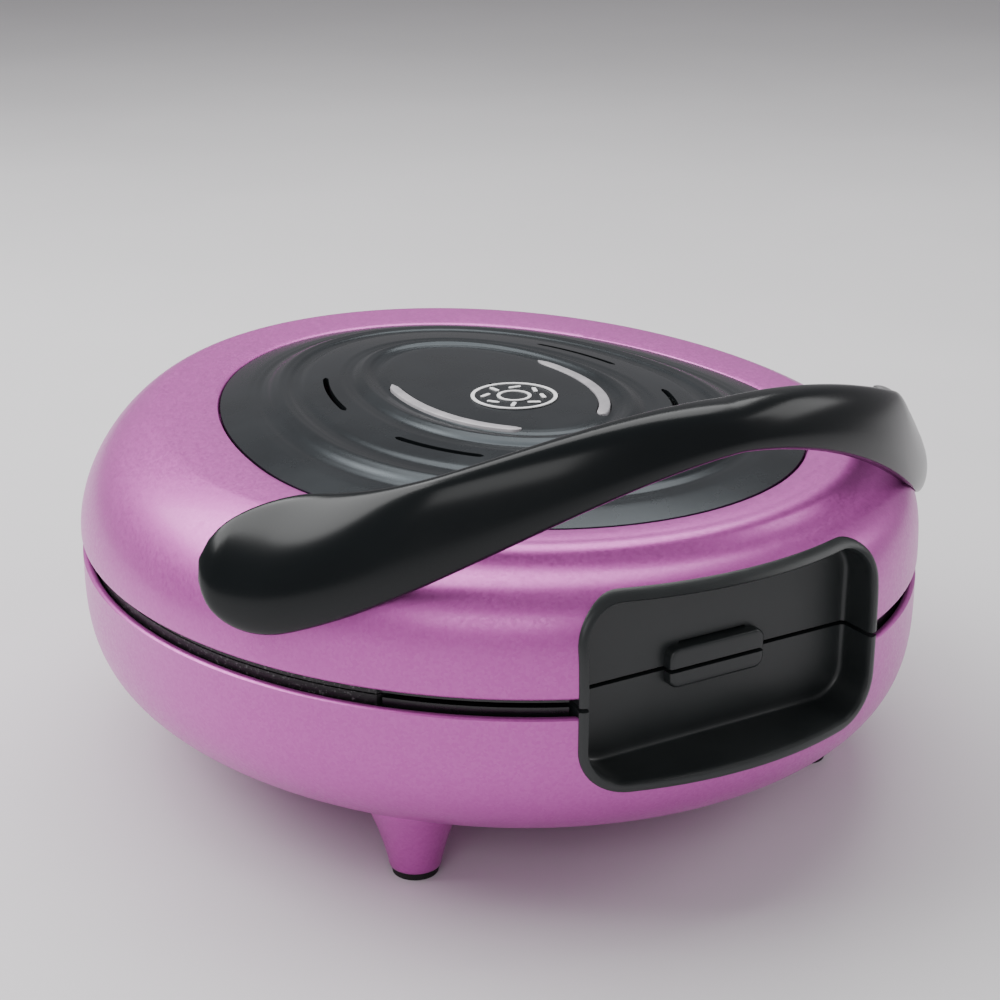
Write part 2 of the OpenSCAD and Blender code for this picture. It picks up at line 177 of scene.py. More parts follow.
def lathe(name, profile, centre, material, body, **kw):
    """Turns (radius, z) pairs about a vertical line through centre."""
    steps = 64
    rows = [[(centre[0] + r * math.cos(2 * math.pi * k / steps),
              centre[1] + r * math.sin(2 * math.pi * k / steps), z) for k in range(steps)]
            for r, z in profile]
    return loft(name, rows, material, body, caps=True, **kw)


# ---------------------------------------------------------------- shape of the body

def outline(theta, inset=0.0):
    """Point of the oval at an angle from the front, moved inwards."""
    s, c = math.sin(theta), math.cos(theta)
    x, y = HALF_W * s, -HALF_L * c
    nx, ny = x / HALF_W ** 2, y / HALF_L ** 2
    n = math.hypot(nx, ny)
    return x - inset * nx / n, y - inset * ny / n


def egg(w, theta):
    """Nested eggs of the top panel, by half width and angle from the front."""
    s, c = math.sin(theta), math.cos(theta)
    return w * s, 5.5 - 0.26 * w - c * ((0.83 * w + 20) if c > 0 else (1.26 * w + 13.5))


# The lid's section at the front, as (inset, z) pairs: upright, over the shoulder, through the cove
FRONT_PROFILE = [(0, SHOULDER_START), (0.08, 74.5), (0.3, 79), (0.8, 83), (1.8, 86.8), (3.3, 90.1),
                 (5.4, 92.8), (8.1, 94.8), (10.9, 96.2), (13.5, 97.3), (15.5, 98.5), (17.0, 99.8),
                 (18.3, 101.1), (19.8, 101.95), (21.5, TOP_RING_Z), (23.4, 102.4)]


def spline(points, n):
    """n + 1 points along a Catmull-Rom curve."""
    pts = [np.array(p, float) for p in points]
    pts = [2 * pts[0] - pts[1]] + pts + [2 * pts[-1] - pts[-2]]
    spans = len(points) - 1
    out = []
    for i in range(n + 1):
        u = spans * i / n
        k = min(int(u), spans - 1)
        t = u - k
        a, b, c, d = pts[k:k + 4]
        out.append(0.5 * (2 * b + (c - a) * t + (2 * a - 5 * b + 4 * c - d) * t * t
                          + (3 * b - a - 3 * c + d) * t ** 3))
    return out


SHOULDER_STEPS = 42
front_curve = spline(FRONT_PROFILE, SHOULDER_STEPS)


def shoulder_curve(theta):
    """The lid's section from the upright side to the top ring, as (inset, z) pairs."""
    c = math.cos(theta)
    width = lerp(SHOULDER_SIDE, SHOULDER_FRONT if c > 0 else SHOULDER_BACK, c * c)
    reach = lerp(0.70, 0.94, c * c)
    cove = 1 - smooth((abs(math.degrees(wrap(theta))) - COVE_ANGLE) / COVE_FADE)
    out = []
    for i, front in enumerate(front_curve):
        s = i / SHOULDER_STEPS
        t = math.acos(1 - reach * s ** 1.4)
        rise = SHOULDER_START + (LID_TOP - SHOULDER_START) * math.sin(t) ** 1.12
        side = np.array((width * (1 - math.cos(t)), rise))
        out.append(lerp(side, front, cove))
    return out


def wrap(theta):
    """The same angle between -pi and pi."""
    return (theta + math.pi) % (2 * math.pi) - math.pi


def lid_depth(theta, z):
    """How far the lid's surface lies inside the outline at height z."""
    if z <= SHOULDER_START:
        return 0.0
    curve = shoulder_curve(theta)
    for (d0, z0), (d1, z1) in zip(curve, curve[1:]):
        if z0 <= z <= z1 and z1 > z0:
            return lerp(d0, d1, (z - z0) / (z1 - z0))
    return 99.0


def bowl_section(n):
    """(share of the outline, z) pairs from the base's rim to its bottom."""
    out = []
    for i in range(n + 1):
        t = math.pi / 2 * i / n
        out.append((math.cos(t) ** 0.62 if i < n else 0.0,
                    BASE_TOP - (BASE_TOP - BOWL_BOTTOM) * math.sin(t) ** 0.5))
    return out


def front_y(x, z):
    """Y of the shells' outer surface at the front."""
    theta = math.asin(clamp(x / HALF_W, -1, 1))
    if z > SPLIT_Z:
        return -HALF_L * math.cos(theta) + lid_depth(0.0, z)
    f = 1.0
    section = bowl_section(60)
    for (f0, z0), (f1, z1) in zip(section, section[1:]):
        if z1 <= z <= z0:
            f = lerp(f0, f1, (z0 - z) / max(z0 - z1, 1e-6))
    return -HALF_L * f * math.sqrt(max(0.0, 1 - (x / HALF_W / f) ** 2))


# ---------------------------------------------------------------- materials

def node_material(name, build):
    mat = bpy.data.materials.new(name)
    mat.use_nodes = True
    tree = mat.node_tree
    bsdf = next(n for n in tree.nodes if n.type == "BSDF_PRINCIPLED")
    build(tree, bsdf)
    return mat


def add(tree, kind, inputs=None, **props):
    node = tree.nodes.new(kind)
    for k, v in props.items():
        setattr(node, k, v)
    for k, v in (inputs or {}).items():
        node.inputs[k].default_value = v
    return node


def noise(tree, scale, detail=4.0, rough=0.5, stretch=None):
    coord = add(tree, "ShaderNodeTexCoord")
    node = add(tree, "ShaderNodeTexNoise", {"Scale": scale, "Detail": detail, "Roughness": rough})
    source = coord.outputs["Object"]
    if stretch:
        mapping = add(tree, "ShaderNodeMapping", {"Scale": stretch})
        tree.links.new(source, mapping.inputs["Vector"])
        source = mapping.outputs["Vector"]
    tree.links.new(source, node.inputs["Vector"])
    return node.outputs["Fac"]


def ramp(tree, source, low, high, to_low, to_high):
    node = add(tree, "ShaderNodeMapRange",
               {"From Min": low, "From Max": high, "To Min": to_low, "To Max": to_high})
    tree.links.new(source, node.inputs["Value"])
    return node.outputs["Result"]


def mix_colour(tree, factor, first, second):
    node = add(tree, "ShaderNodeMix", data_type="RGBA")
    node.inputs["A"].default_value = (*first, 1)
    node.inputs["B"].default_value = (*second, 1)
    tree.links.new(factor, node.inputs["Factor"])
    return node.outputs["Result"]


def bump(tree, bsdf, source, strength, distance):
    node = add(tree, "ShaderNodeBump", {"Strength": strength, "Distance": distance})
    tree.links.new(source, node.inputs["Height"])
    tree.links.new(node.outputs["Normal"], bsdf.inputs["Normal"])


def surface(name, colour, alt, metallic=0.0, rough=(0.35, 0.45), scale=60.0, grain=2500.0,
            grain_depth=0.05, coat=0.0, coat_rough=0.05, stretch=None, spec=0.5):
    """A two-tone surface with mottled roughness and a fine grain."""
    def build(tree, bsdf):
        cloud = noise(tree, scale, 6.0, 0.55, stretch)
        tone = mix_colour(tree, ramp(tree, cloud, 0.3, 0.7, 0, 1), colour, alt)
        tree.links.new(tone, bsdf.inputs["Base Color"])
        tree.links.new(ramp(tree, cloud, 0.3, 0.7, *rough), bsdf.inputs["Roughness"])
        bsdf.inputs["Metallic"].default_value = metallic
        bsdf.inputs["Specular IOR Level"].default_value = spec
        bsdf.inputs["Coat Weight"].default_value = coat
        bsdf.inputs["Coat Roughness"].default_value = coat_rough
        bump(tree, bsdf, noise(tree, grain, 2.0, 0.5, stretch), grain_depth, 0.0002)
    return node_material(name, build)


def flake_paint(name, colour, alt):
    """Metallic paint: fine flakes that vary tone and glint, under a clear coat."""
    def build(tree, bsdf):
        coord = add(tree, "ShaderNodeTexCoord")
        flakes = add(tree, "ShaderNodeTexVoronoi", {"Scale": 1400.0})
        tree.links.new(coord.outputs["Object"], flakes.inputs["Vector"])
        cloud = noise(tree, 9.0, 2.0)
        split = add(tree, "ShaderNodeSeparateColor")
        tree.links.new(flakes.outputs["Color"], split.inputs["Color"])
        tone = add(tree, "ShaderNodeMath", operation="MULTIPLY_ADD")
        tree.links.new(split.outputs["Red"], tone.inputs[0])
        tone.inputs[1].default_value = 0.35
        tree.links.new(ramp(tree, cloud, 0.3, 0.7, 0.3, 0.38), tone.inputs[2])
        tree.links.new(mix_colour(tree, tone.outputs["Value"], colour, alt), bsdf.inputs["Base Color"])
        tree.links.new(ramp(tree, split.outputs["Green"], 0, 1, 0.34, 0.46), bsdf.inputs["Roughness"])
        bsdf.inputs["Metallic"].default_value = 0.62
        bsdf.inputs["Coat Weight"].default_value = 0.22
        bsdf.inputs["Coat Roughness"].default_value = 0.16
        bump(tree, bsdf, split.outputs["Blue"], 0.015, 0.0001)
    return node_material(name, build)


def speckle(name, colour, dots):
    """Non-stick coating with pale flecks."""
    def build(tree, bsdf):
        cells = noise(tree, 900.0, 3.0, 0.7)
        tone = mix_colour(tree, ramp(tree, cells, 0.56, 0.66, 0, 1), colour, dots)
        tree.links.new(tone, bsdf.inputs["Base Color"])
        tree.links.new(ramp(tree, cells, 0.3, 0.7, 0.36, 0.55), bsdf.inputs["Roughness"])
        bsdf.inputs["Metallic"].default_value = 0.2
        bump(tree, bsdf, cells, 0.35, 0.0004)
    return node_material(name, build)


plain = bpy.data.materials.new("cutter")
paint = flake_paint("orchid_metallic_paint", (0.50, 0.075, 0.40), (0.62, 0.14, 0.51))
inlay_mat = surface("dark_satin_panel", (0.027, 0.033, 0.037), (0.037, 0.044, 0.049), metallic=0.75,
                    rough=(0.25, 0.30), scale=40, grain=3200, grain_depth=0.015)
gloss_black = surface("gloss_black_plastic", (0.0028, 0.0046, 0.0052), (0.0045, 0.0066, 0.0074),
                      rough=(0.19, 0.24), scale=25, grain=900, grain_depth=0.012, spec=0.30)
bezel_mat = surface("charcoal_bezel_plastic", (0.013, 0.016, 0.0165), (0.018, 0.0215, 0.022),
                    rough=(0.34, 0.42), scale=70, grain=3600, grain_depth=0.06)
frame_mat = surface("black_frame_plastic", (0.006, 0.0065, 0.007), (0.010, 0.011, 0.012), rough=(0.22, 0.32),
                    scale=80, grain=2000, grain_depth=0.04)
rubber_mat = surface("black_rubber", (0.010, 0.010, 0.010), (0.018, 0.018, 0.018), rough=(0.65, 0.8),
                     scale=120, grain=1800, grain_depth=0.2, spec=0.3)
steel_mat = surface("brushed_steel", (0.42, 0.42, 0.43), (0.55, 0.55, 0.56), metallic=1.0, rough=(0.24, 0.36),
                    scale=90, grain=1500, grain_depth=0.08, stretch=(1, 1, 12))
element_mat = surface("oxidised_steel_tube", (0.16, 0.13, 0.11), (0.25, 0.21, 0.18), metallic=0.9,
                      rough=(0.4, 0.6), scale=140, grain=1400, grain_depth=0.15)
reflector_mat = surface("rolled_aluminium", (0.55, 0.55, 0.54), (0.66, 0.66, 0.65), metallic=1.0,
                        rough=(0.22, 0.34), scale=50, grain=1200, grain_depth=0.06, stretch=(14, 1, 1))
ceramic_mat = surface("white_ceramic", (0.62, 0.58, 0.50), (0.70, 0.67, 0.60), rough=(0.5, 0.65), scale=150,
                      grain=1600, grain_depth=0.1)
nonstick_mat = speckle("speckled_nonstick", (0.010, 0.0105, 0.011), (0.13, 0.13, 0.13))
wire_mat = surface("red_silicone_sleeve", (0.36, 0.02, 0.015), (0.45, 0.03, 0.02), rough=(0.45, 0.6),
                   scale=200, grain=1500, grain_depth=0.15)
board_mat = surface("green_circuit_board", (0.01, 0.09, 0.03), (0.015, 0.13, 0.045), rough=(0.3, 0.45),
                    scale=260, grain=900, grain_depth=0.1)
lamp_mat = surface("amber_lamp", (0.55, 0.10, 0.03), (0.65, 0.16, 0.05), rough=(0.1, 0.2), scale=120,
                   grain=800, grain_depth=0.05, coat=1.0)
window_mat = surface("frosted_window", (0.34, 0.33, 0.35), (0.44, 0.42, 0.44), rough=(0.28, 0.4), scale=160,
                     grain=1500, grain_depth=0.12, coat=0.4, coat_rough=0.2)
badge_mat = surface("white_print", (0.80, 0.80, 0.80), (0.88, 0.88, 0.88), rough=(0.35, 0.5), scale=200,
                    grain=1200, grain_depth=0.1)

CAD_LOOKS = {
    "foot_pads": rubber_mat, "base_screws": steel_mat, "base_frame": frame_mat, "lower_plate": nonstick_mat,
    "lower_plate_screws": steel_mat, "lower_element": element_mat, "lower_reflector": reflector_mat,
    "lower_thermostat": ceramic_mat, "thermal_fuse": ceramic_mat, "terminal_block": ceramic_mat,
    "element_wires": wire_mat, "cord_gland": rubber_mat, "gland_nut": frame_mat, "hinge_pin": steel_mat,
    "lid_frame": frame_mat, "lid_screws": steel_mat, "upper_plate": nonstick_mat,
    "upper_plate_screws": steel_mat, "upper_element": element_mat, "upper_reflector": reflector_mat,
    "upper_thermostat": ceramic_mat, "indicator_board": board_mat, "indicator_lamps": lamp_mat,
    "handle_screws": steel_mat, "latch_pin": steel_mat, "latch_spring": steel_mat, "latch_lever": bezel_mat,
}
for node, look in CAD_LOOKS.items():
    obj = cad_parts[node]
    obj.data.materials.clear()
    obj.data.materials.append(look)


# ---------------------------------------------------------------- recess shape
def rounded_loop(half_w, z0, z1, r, y_of):
    """Rounded rectangle in X and Z whose depth is given by y_of(x, z)."""
    per_corner, per_side = 14, 14
    pts = []
    corners = [(half_w - r, z0 + r, -90), (half_w - r, z1 - r, 0), (-half_w + r, z1 - r, 90),
               (-half_w + r, z0 + r, 180)]
    for i, (cx, cz, start) in enumerate(corners):
        for k in range(per_corner + 1):
            t = math.radians(start + 90 * k / per_corner)
            pts.append((cx + r * math.cos(t), cz + r * math.sin(t)))
        nx, nz, ns = corners[(i + 1) % 4]
        end = (nx + r * math.cos(math.radians(ns)), nz + r * math.sin(math.radians(ns)))
        last = pts[-1]
        for k in range(1, per_side):
            pts.append((lerp(last[0], end[0], k / per_side), lerp(last[1], end[1], k / per_side)))
    return [(x, y_of(x, z), z) for x, z in pts]


def recess_cutter():
    """The hole for the recess's insert, a little larger than the insert."""
    z0, z1 = RECESS_Z
    grow = RECESS_PLAY
    rows = [rounded_loop(RECESS_W + grow, z0 - grow, z1 + grow, RECESS_R + grow, lambda x, z, y=y: y)
            for y in (-150.0, -PANEL_Y - 1.0)]
    return loft("cutter", rows, plain, None, caps=True)


# ---------------------------------------------------------------- lid shell

# The lid's lower rim, as (inset, z) pairs from the inside round to the outside
LID_RIM = [(2.5, 71.0), (2.5, 69.3), (2.2, 68.8), (1.7, 68.52), (1.0, 68.5), (0.45, 68.7), (0.1, 69.2),
           (0.02, 69.6)]
# The step that the panel sits in, as (growth over the panel's egg, z) pairs
PANEL_SEAT = [(0.9, 102.2), (0.62, 101.9), (0.6, 101.2), (0.6, 97.4), (-3.9, 97.4), (-3.9, 95.9)]
# Clearance for the hinge at the back of both shells
HINGE_PIN_HALF = 41.0
HINGE_PIN_Y = 131.5
MIDDLE_KNUCKLE_HALF = 21.8
OUTER_KNUCKLES = (21.2, 40.8)
KNUCKLE_Y = 122


def lid_rows():
    """The lid's skin, from its rim over the top ring to the panel's seat and back inside."""
    columns = []
    for theta in THETAS:
        curve = shoulder_curve(theta)
        col = [(*outline(theta, d), z) for d, z in LID_RIM]
        col += [(*outline(theta, d), z) for d, z in curve]
        ex, ey, ez = col[-1]
        gx, gy = egg(PANEL_EDGE + PANEL_SEAT[0][0], theta)
        for f in (0.08, 0.2, 0.35, 0.5, 0.65, 0.8, 0.92):
            z = lerp(ez, TOP_RING_Z, f) + 0.35 * math.sin(math.pi * f) * (1 if ez < 103 else 0.4)
            col.append((lerp(ex, gx, f), lerp(ey, gy, f), z))
        for w, z in PANEL_SEAT:
            col.append((*egg(PANEL_EDGE + w, theta), z))
        for f in (0.3, 0.7, 1.0):
            col.append((lerp(gx, ex, f), lerp(gy, ey, f), 98.6 if f < 1 else 97.8))
        col.append((*outline(theta, min(10.0, curve[-1][0])), 90.0))
        columns.append(col)
    return [list(row) for row in zip(*columns)]


lid_shell = loft("lid_shell_skin", lid_rows(), paint, None, wrap_col=True)
boolean(lid_shell, [recess_cutter(),
                    box_cutter((-MIDDLE_KNUCKLE_HALF, KNUCKLE_Y, 60), (MIDDLE_KNUCKLE_HALF, 150, 75.6)),
                    box_cutter((-HINGE_PIN_HALF, HINGE_PIN_Y, 58), (HINGE_PIN_HALF, 150, 72.6))])
shade(lid_shell, 40)
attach(lid_shell, "lid")
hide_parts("lid_shell")


# ---------------------------------------------------------------- base shell and feet

# The base's upper rim, as (inset, z) pairs from the inside round to the outside
BASE_RIM = [(2.5, 55.0), (2.5, 62.6), (2.2, 63.2), (1.7, 63.47), (1.0, BASE_TOP), (0.45, 63.3),
            (0.1, 62.9)]
BASE_WALL = 2.5


def base_rows():
    """The base's skin, from its rim down the outside of the bowl and back up the inside."""
    section = bowl_section(48)
    inner = [(f * 0.98, z + BASE_WALL) for f, z in section[6:]][::-1]
    rows = [[(*outline(theta, d), z) for theta in THETAS] for d, z in BASE_RIM]
    for f, z in section[1:] + inner:
        rows.append([(HALF_W * f * math.sin(theta), -HALF_L * f * math.cos(theta), z) for theta in THETAS])
    return rows


base_shell = loft("base_shell_skin", base_rows(), paint, None, wrap_col=True)
vents = [box_cutter((x - 1.5, -18, BOWL_BOTTOM - 2), (x + 1.5, 18, BOWL_BOTTOM + 5))
         for x in range(-30, 31, 10)]
near, far = OUTER_KNUCKLES
boolean(base_shell, [recess_cutter(), box_cutter((-far, KNUCKLE_Y, 56.6), (-near, 152, 76)),
                     box_cutter((near, KNUCKLE_Y, 56.6), (far, 152, 76)),
                     box_cutter((-HINGE_PIN_HALF, HINGE_PIN_Y, 59.7), (HINGE_PIN_HALF, 150, 73))] + vents)
shade(base_shell, 40)
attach(base_shell, "base")
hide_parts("base_shell")

FEET = [(67.6, -74.8), (-67.6, -74.8), (67.6, 86), (-67.6, 86)]
# A foot as (radius, z) pairs: the pad's socket and rounded tip, the flared leg, the end in the bowl
FOOT_TIP = [(4.4, 9.0), (4.4, 2.6), (4.7, 2.1), (6.6, 2.0), (7.1, 2.25), (7.35, 2.9)]
FOOT_LEG = [(7.5 + 4.4 * k / 8 + 2.4 * (k / 8) ** 2, 4 + 20.0 * k / 8) for k in range(9)]
FOOT_END = [(14.4, 27), (14.4, 31)]
for i, centre in enumerate(FEET):
    lathe(f"foot_{i + 1}", FOOT_TIP + FOOT_LEG + FOOT_END, centre, paint, "base", slot="shell_paint",
          angle=50)


# ---------------------------------------------------------------- recess insert

# The lip's section as (growth, how far it stands proud of the shells) pairs, from outside to inside
LIP = [(0.0, -2.2), (0.3, -0.4), (0.75, 0.25), (0.65, 0.62), (0.1, 0.85), (-0.8, 0.8), (-1.5, 0.45),
       (-1.95, -0.4), (-2.2, -1.6)]
# The side walls as (share of the depth, growth) pairs
WALLS = [(0.25, -2.25), (0.5, -2.3), (0.75, -2.35), (0.93, -2.4)]
# The fillet and the back wall as (growth, distance from the back wall) pairs
FLOOR = [(-2.45, -1.1), (-2.65, -0.62), (-3.1, -0.2), (-3.7, -0.02), (-5.0, 0.0), (-11, 0.0)]
SPLIT_PLAY = 0.6


def bezel_rows():
    """The insert's visible skin, from its lip down the walls to the middle of the back wall."""
    z0, z1 = RECESS_Z
    rows = []

    def row(grow, depth):
        radius = max(1.0, RECESS_R + grow)
        rows.append(rounded_loop(RECESS_W + grow, z0 - grow, z1 + grow, radius, depth))

    for grow, proud in LIP:
        row(grow, lambda x, z, proud=proud: front_y(x, clamp(z, z0 - 2, z1 + 1)) - proud)
    for share, grow in WALLS:
        row(grow, lambda x, z, share=share: lerp(front_y(x, clamp(z, z0, z1)) + 1.6, -PANEL_Y - 1.4, share))
    for grow, y in FLOOR:
        row(grow, lambda x, z, y=y: -PANEL_Y + y)
    mid = (z0 + z1) / 2
    rows.append([(x * 0.3, y, lerp(mid, z, 0.3)) for x, y, z in rows[-1]])
    return rows


def bezel(name, body, node, z_low, z_high):
    """One half of the insert, with its back and the sleeve inside the shells."""
    rows = bezel_rows()
    back = [[(x, y + 2.0, z) for x, y, z in row] for row in rows[::-1][:7]]
    sleeve = [rounded_loop(RECESS_W, RECESS_Z[0], RECESS_Z[1], RECESS_R,
                           lambda x, z, s=s: lerp(front_y(x, z) + 2.6, -PANEL_Y + 2, s)) for s in (1.0, 0.3)]
    obj = loft(name, rows + back + sleeve, bezel_mat, None, wrap_col=True)
    boolean(obj, [box_cutter((-70, -160, z_low), (70, -60, z_high))], "INTERSECT")
    shade(obj, 35)
    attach(obj, body)
    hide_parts(node)


bezel("lower_recess_insert", "base", "base_bezel", 30.0, SPLIT_Z - SPLIT_PLAY)
bezel("upper_recess_insert", "lid", "lid_bezel", SPLIT_Z + SPLIT_PLAY, 110.0)


# ---------------------------------------------------------------- latch lugs

LUG_HALF = 15.2
LUG_R = 2.9
# The lug's section as (inset, distance from the back wall) pairs
LUG_SECTION = [(0.0, 3.0), (0.0, -2.2), (0.15, -2.7), (0.45, -3.0), (0.8, -3.1), (1.8, -3.15)]


def lug(name, body, z0, z1, round_top):
    """One half of the pill: a bar with a rounded far edge and soft front."""
    rows = []
    for inset, y in LUG_SECTION:
        pts = []
        w, top = LUG_HALF - inset, z1 - inset
        r = LUG_R - min(inset, 1.0)
        for side, start in ((1, 0), (-1, 90)):
            for k in range(13):
                t = math.radians(start + 90 * k / 12)
                pts.append((side * (w - r) + r * math.cos(t), top - r + r * math.sin(t)))
        pts.append((-w, z0))
        pts.append((w, z0))
        if not round_top:
            pts = [(px, z0 + z1 - pz) for px, pz in pts]
        rows.append([(px, -PANEL_Y + y, pz) for px, pz in pts])
    return loft(name, rows, bezel_mat, body, caps=True, slot="bezel_grey", angle=40)


lug("catch_lug", "base", SPLIT_Z - 5.3, SPLIT_Z - 0.7, False)
lug("latch_lug_cap", "latch", SPLIT_Z + 0.5, SPLIT_Z + 6.0, True)


# ---------------------------------------------------------------- top panel

# Height of the ripples over the crown, as (half width of the egg, height) pairs
RIPPLES = [(0, 0), (27.5, 0), (29.2, -0.25), (31, -0.75), (32.6, -0.3), (34.2, 0.55), (35.8, 0.85),
           (37.4, 0.35), (39.2, -0.55), (41, -0.35), (43.5, 0.0), (50, 0.05), (54.5, 0.0), (56.8, -0.55),
           (58.8, -0.35), (61, 0.5), (63.3, 0.95), (65.5, 0.55), (67.6, -0.3), (69.4, -0.6),
           (71.6, -0.25), (74.5, 0), (90, 0)]
# The eggs that the windows and the vent slots follow
WINDOW_W = 28
VENT_W = 48
# (egg, width, first and last angle from the front) of the openings on each side
WINDOW_HOLE = (WINDOW_W, 3.9, 28, 112)
VENTS = [(VENT_W, 1.9, 42, 73), (VENT_W, 1.9, 99, 127)]


def ripple(w):
    for (a, h0), (b, h1) in zip(RIPPLES, RIPPLES[1:]):
        if a <= w <= b:
            return lerp(h0, h1, smooth((w - a) / (b - a)))
    return 0.0


def crown(w):
    s = w / PANEL_EDGE
    return PANEL_TOP - PANEL_DROP * (0.35 * s ** 2 + 0.65 * s ** 3)


def panel_point(w, theta):
    """Point of the panel's grid; inside the windows' egg the grid shrinks evenly to a centre."""
    if w >= WINDOW_W:
        return egg(w, theta)
    x, y = egg(WINDOW_W, theta)
    cy = 5.5 - 0.26 * WINDOW_W + 2.8
    return x * w / WINDOW_W, cy + (y - cy) * w / WINDOW_W


def curved_strip(w, width, t0, t1, z0, z1, sign):
    """Two outlines of a strip along a nested egg, with rounded ends."""
    steps = 28
    left, right = [], []
    t0, t1 = math.radians(t0), math.radians(t1)
    for i in range(steps + 1):
        u = i / steps
        t = lerp(t0, t1, u)
        edge = min(u, 1 - u) * steps / 2.0
        h = width / 2 * math.sqrt(clamp(1 - (1 - clamp(edge)) ** 2, 0.02))
        x0, y0 = egg(w + h, t)
        x1, y1 = egg(w - h, t)
        left.append((sign * x0, y0))
        right.append((sign * x1, y1))
    ring = left + right[::-1]
    return [[(x, y, z) for x, y in ring] for z in (z0, z1)]


WIDTHS = [0.5, 4, 9, 14, 19, 23, 26] + [27.5 + 0.55 * k for k in range(31)] + [46, 48, 50, 52, 53.5] \
    + [54.6 + 0.6 * k for k in range(34)] + [76, 78, 80, 81.2, 82.0, 82.5, 82.75]


def top_panel():
    rows = []
    for w in WIDTHS:
        rows.append([(*panel_point(w, t), crown(w) + ripple(w)) for t in THETAS])
    for w, dz in ((82.8, -0.25), (82.8, -2.0), (70, -2.2), (40, -2.2), (20, -2.2), (0.5, -2.2)):
        rows.append([(*panel_point(w, t), crown(w) + dz) for t in THETAS])
    obj = loft("rippled_top_panel", rows, inlay_mat, None, wrap_col=True)
    cutters = []
    for sign in (-1, 1):
        for w, width, t0, t1 in [WINDOW_HOLE] + VENTS:
            cutters.append(loft("cutter", curved_strip(w, width, t0, t1, 99, 116, sign), plain, None,
                                caps=True))
    boolean(obj, cutters)
    shade(obj, 38)
    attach(obj, "lid")
    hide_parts("top_panel")


top_panel()
for sign, node in ((-1, "power_window"), (1, "ready_window")):
    rows = []
    for width, dz in ((3.2, -3.2), (3.2, 0.05), (2.9, 0.25), (2.2, 0.35)):
        flat = curved_strip(WINDOW_W, width, 28.3, 111.7, 0, 1, sign)[0]
        rows.append([(x, y, crown(WINDOW_W) + dz) for x, y, _ in flat])
    loft(node + "_lens", rows, window_mat, "lid", caps=True, replaced=(node,), slot="window_clear",
         angle=40)


# ---------------------------------------------------------------- badge: a plain ring with sprinkles

BADGE_Y = -13.0
BADGE_RINGS = ((11.9, 13.0), (4.2, 5.2))
BADGE_T = 0.28
SPRINKLES = 8
SPRINKLE_PLACE = 8.6
SPRINKLE_L = 4.0
SPRINKLE_W = 1.25


def badge():
    z = PANEL_TOP + 0.02
    steps = 72
    verts, faces = [], []

    def ring(r0, r1):
        base = len(verts)
        for r in (r0, r1):
            for h in (z, z + BADGE_T):
                for k in range(steps):
                    t = 2 * math.pi * k / steps
                    verts.append((r * math.cos(t), BADGE_Y + r * math.sin(t), h))
        for k in range(steps):
            n = (k + 1) % steps
            a, b, c, d = (base + j * steps for j in range(4))
            faces.extend([(a + k, a + n, b + n, b + k), (c + k, d + k, d + n, c + n),
                          (b + k, b + n, d + n, d + k), (a + k, c + k, c + n, a + n)])

    def sprinkle(cx, cy, turn):
        base = len(verts)
        n = 8
        r = SPRINKLE_W / 2
        shape = []
        for side, start in ((1, -90), (-1, 90)):
            for k in range(n + 1):
                t = math.radians(start + 180 * k / n)
                shape.append((side * (SPRINKLE_L - SPRINKLE_W) / 2 + r * math.cos(t), r * math.sin(t)))
        ca, sa = math.cos(turn), math.sin(turn)
        for h in (z, z + BADGE_T):
            for px, py in shape:
                verts.append((cx + px * ca - py * sa, BADGE_Y + cy + px * sa + py * ca, h))
        m = len(shape)
        faces.append(tuple(base + m + k for k in range(m)))
        faces.append(tuple(base + k for k in range(m))[::-1])
        for k in range(m):
            faces.append((base + k, base + (k + 1) % m, base + m + (k + 1) % m, base + m + k))

    for inner, outer in BADGE_RINGS:
        ring(inner, outer)
    for k in range(SPRINKLES):
        t = 2 * math.pi * (k + 0.3) / SPRINKLES
        sprinkle(SPRINKLE_PLACE * math.cos(t), SPRINKLE_PLACE * math.sin(t), t * 2.3 + 0.7)
    mesh_object("ring_badge", verts, faces, badge_mat, "lid", replaced=("badge",), slot="badge_silver",
                angle=30)


badge()


# ---------------------------------------------------------------- handle

# Half angle that the handle spans from the front, and the height of its middle there
GRIP_ANGLE = 65.0
GRIP_Z = 131.7
# How far its middle line falls towards the ends
GRIP_FALL = 37.5
# Exponent of the section: 1 is an ellipse, less is squarer
GRIP_SQUARENESS = 0.76
# Where the rounding of the ends starts, as a share of the half span, and how long it is
GRIP_CAP_START = 0.86
GRIP_CAP_LENGTH = 0.175


def grip_point(v, f):
    """Point of the handle: v runs from -1 to 1 along it, f goes round its section."""
    u = abs(v)
    uu = min(u, 1.0)
    cap = 1.0
    if u >= GRIP_CAP_START:
        cap = math.sqrt(max(0.0, 1 - ((u - GRIP_CAP_START) / GRIP_CAP_LENGTH) ** 2))
    full = 6.1 + 12.5 * u ** 1.17
    mid = GRIP_Z - GRIP_FALL * math.sin(math.radians(90 * min(1.0, u ** 1.9))) + 1.5 * (1 - cap)
    depth = 15.4 - 17.9 * uu ** 1.8
    thick = (6.3 - 3.8 * uu) * max(cap, 0.02) ** 0.35
    lean = smooth((u - 0.6) / 0.32)
    c, s = math.cos(f), math.sin(f)
    e = GRIP_SQUARENESS
    up = math.copysign(abs(s) ** e, s) * max(cap, 0.02)
    out = math.copysign(abs(c) ** e, c)
    z = mid + full * up
    d = depth + (2.5 + 5 * lean) * up + 5.3 * lean * up * up + thick * out
    theta = math.radians(v * GRIP_ANGLE)
    seat = lid_depth(theta, z) - 0.35
    # near its ends the inner face reaches in to the lid
    reach = max(0.0, seat - d) * smooth((u - 0.8) / 0.08) * smooth((99 - z) / 6) * clamp(2.5 * c)
    return (*outline(theta, min(d + reach, seat + min(0.0, 1.6 * c))), z)


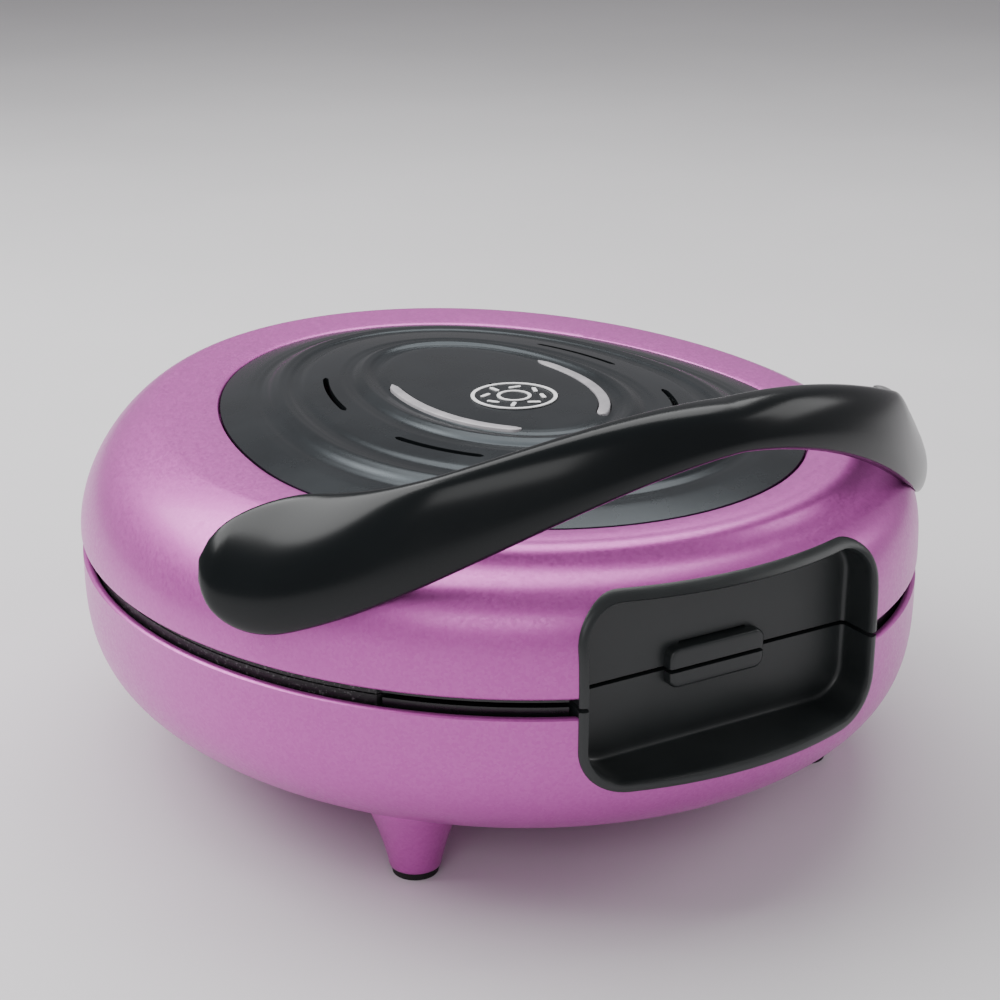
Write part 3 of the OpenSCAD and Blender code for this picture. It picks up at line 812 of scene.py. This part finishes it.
def handle():
    rows = []
    stations, sides = 150, 56
    for i in range(stations + 1):
        q = 2 * i / stations - 1
        v = 1.0345 * math.copysign(1 - (1 - abs(q)) ** 1.12, q)
        rows.append([grip_point(v, 2 * math.pi * k / sides) for k in range(sides)])
    loft("arched_handle", rows, gloss_black, "lid", caps=True, replaced=("handle",),
         slot="gloss_black", angle=60)


handle()


# ---------------------------------------------------------------- floor, light and camera

def floor():
    data = bpy.data.meshes.new("floor")
    s = 3.0
    rows = [(-s, -s, 0), (s, -s, 0), (s, s, 0), (-s, s, 0)]
    data.from_pydata(rows, [], [(0, 1, 2, 3)])
    obj = bpy.data.objects.new("floor", data)
    bpy.context.scene.collection.objects.link(obj)
    data.materials.append(surface("pale_floor", (0.72, 0.71, 0.72), (0.75, 0.74, 0.75), rough=(0.45, 0.55),
                                  scale=3, grain=200, grain_depth=0.02))


floor()

world = bpy.data.worlds.new("studio")
bpy.context.scene.world = world
world.use_nodes = True
background = world.node_tree.nodes["Background"]
background.inputs["Color"].default_value = (0.93, 0.90, 0.94, 1)
background.inputs["Strength"].default_value = 0.33


def area(name, place, target, size, power):
    """A rectangular area light that faces target."""
    data = bpy.data.lights.new(name, "AREA")
    data.shape = "RECTANGLE"
    data.size, data.size_y = size
    data.energy = power
    obj = bpy.data.objects.new(name, data)
    bpy.context.scene.collection.objects.link(obj)
    obj.location = place
    obj.rotation_euler = (Vector(target) - Vector(place)).to_track_quat("-Z", "Y").to_euler()


area("key", (-0.75, 0.55, 0.95), (0, 0, 0.08), (1.1, 0.8), 17.0)
area("top", (0.15, 0.4, 1.15), (0, 0, 0.08), (1.3, 0.9), 15.0)
area("front_fill", (-0.9, -1.1, 0.8), (0, 0, 0.07), (1.0, 0.6), 5.0)
area("right_fill", (1.1, -0.5, 0.7), (0, 0, 0.07), (0.7, 0.6), 4.0)

CAMERA_PLACE = (-0.28966, -0.51039, 0.29001)
CAMERA_TURN = math.radians(-29.993)
CAMERA_TILT = math.radians(20.458)
camera_data = bpy.data.cameras.new("camera")
camera_data.sensor_width = 36.0
camera_data.lens = 72.04
camera = bpy.data.objects.new("camera", camera_data)
bpy.context.scene.collection.objects.link(camera)
camera.location = CAMERA_PLACE
camera.rotation_euler = (math.pi / 2 - CAMERA_TILT, 0, CAMERA_TURN)
bpy.context.scene.camera = camera
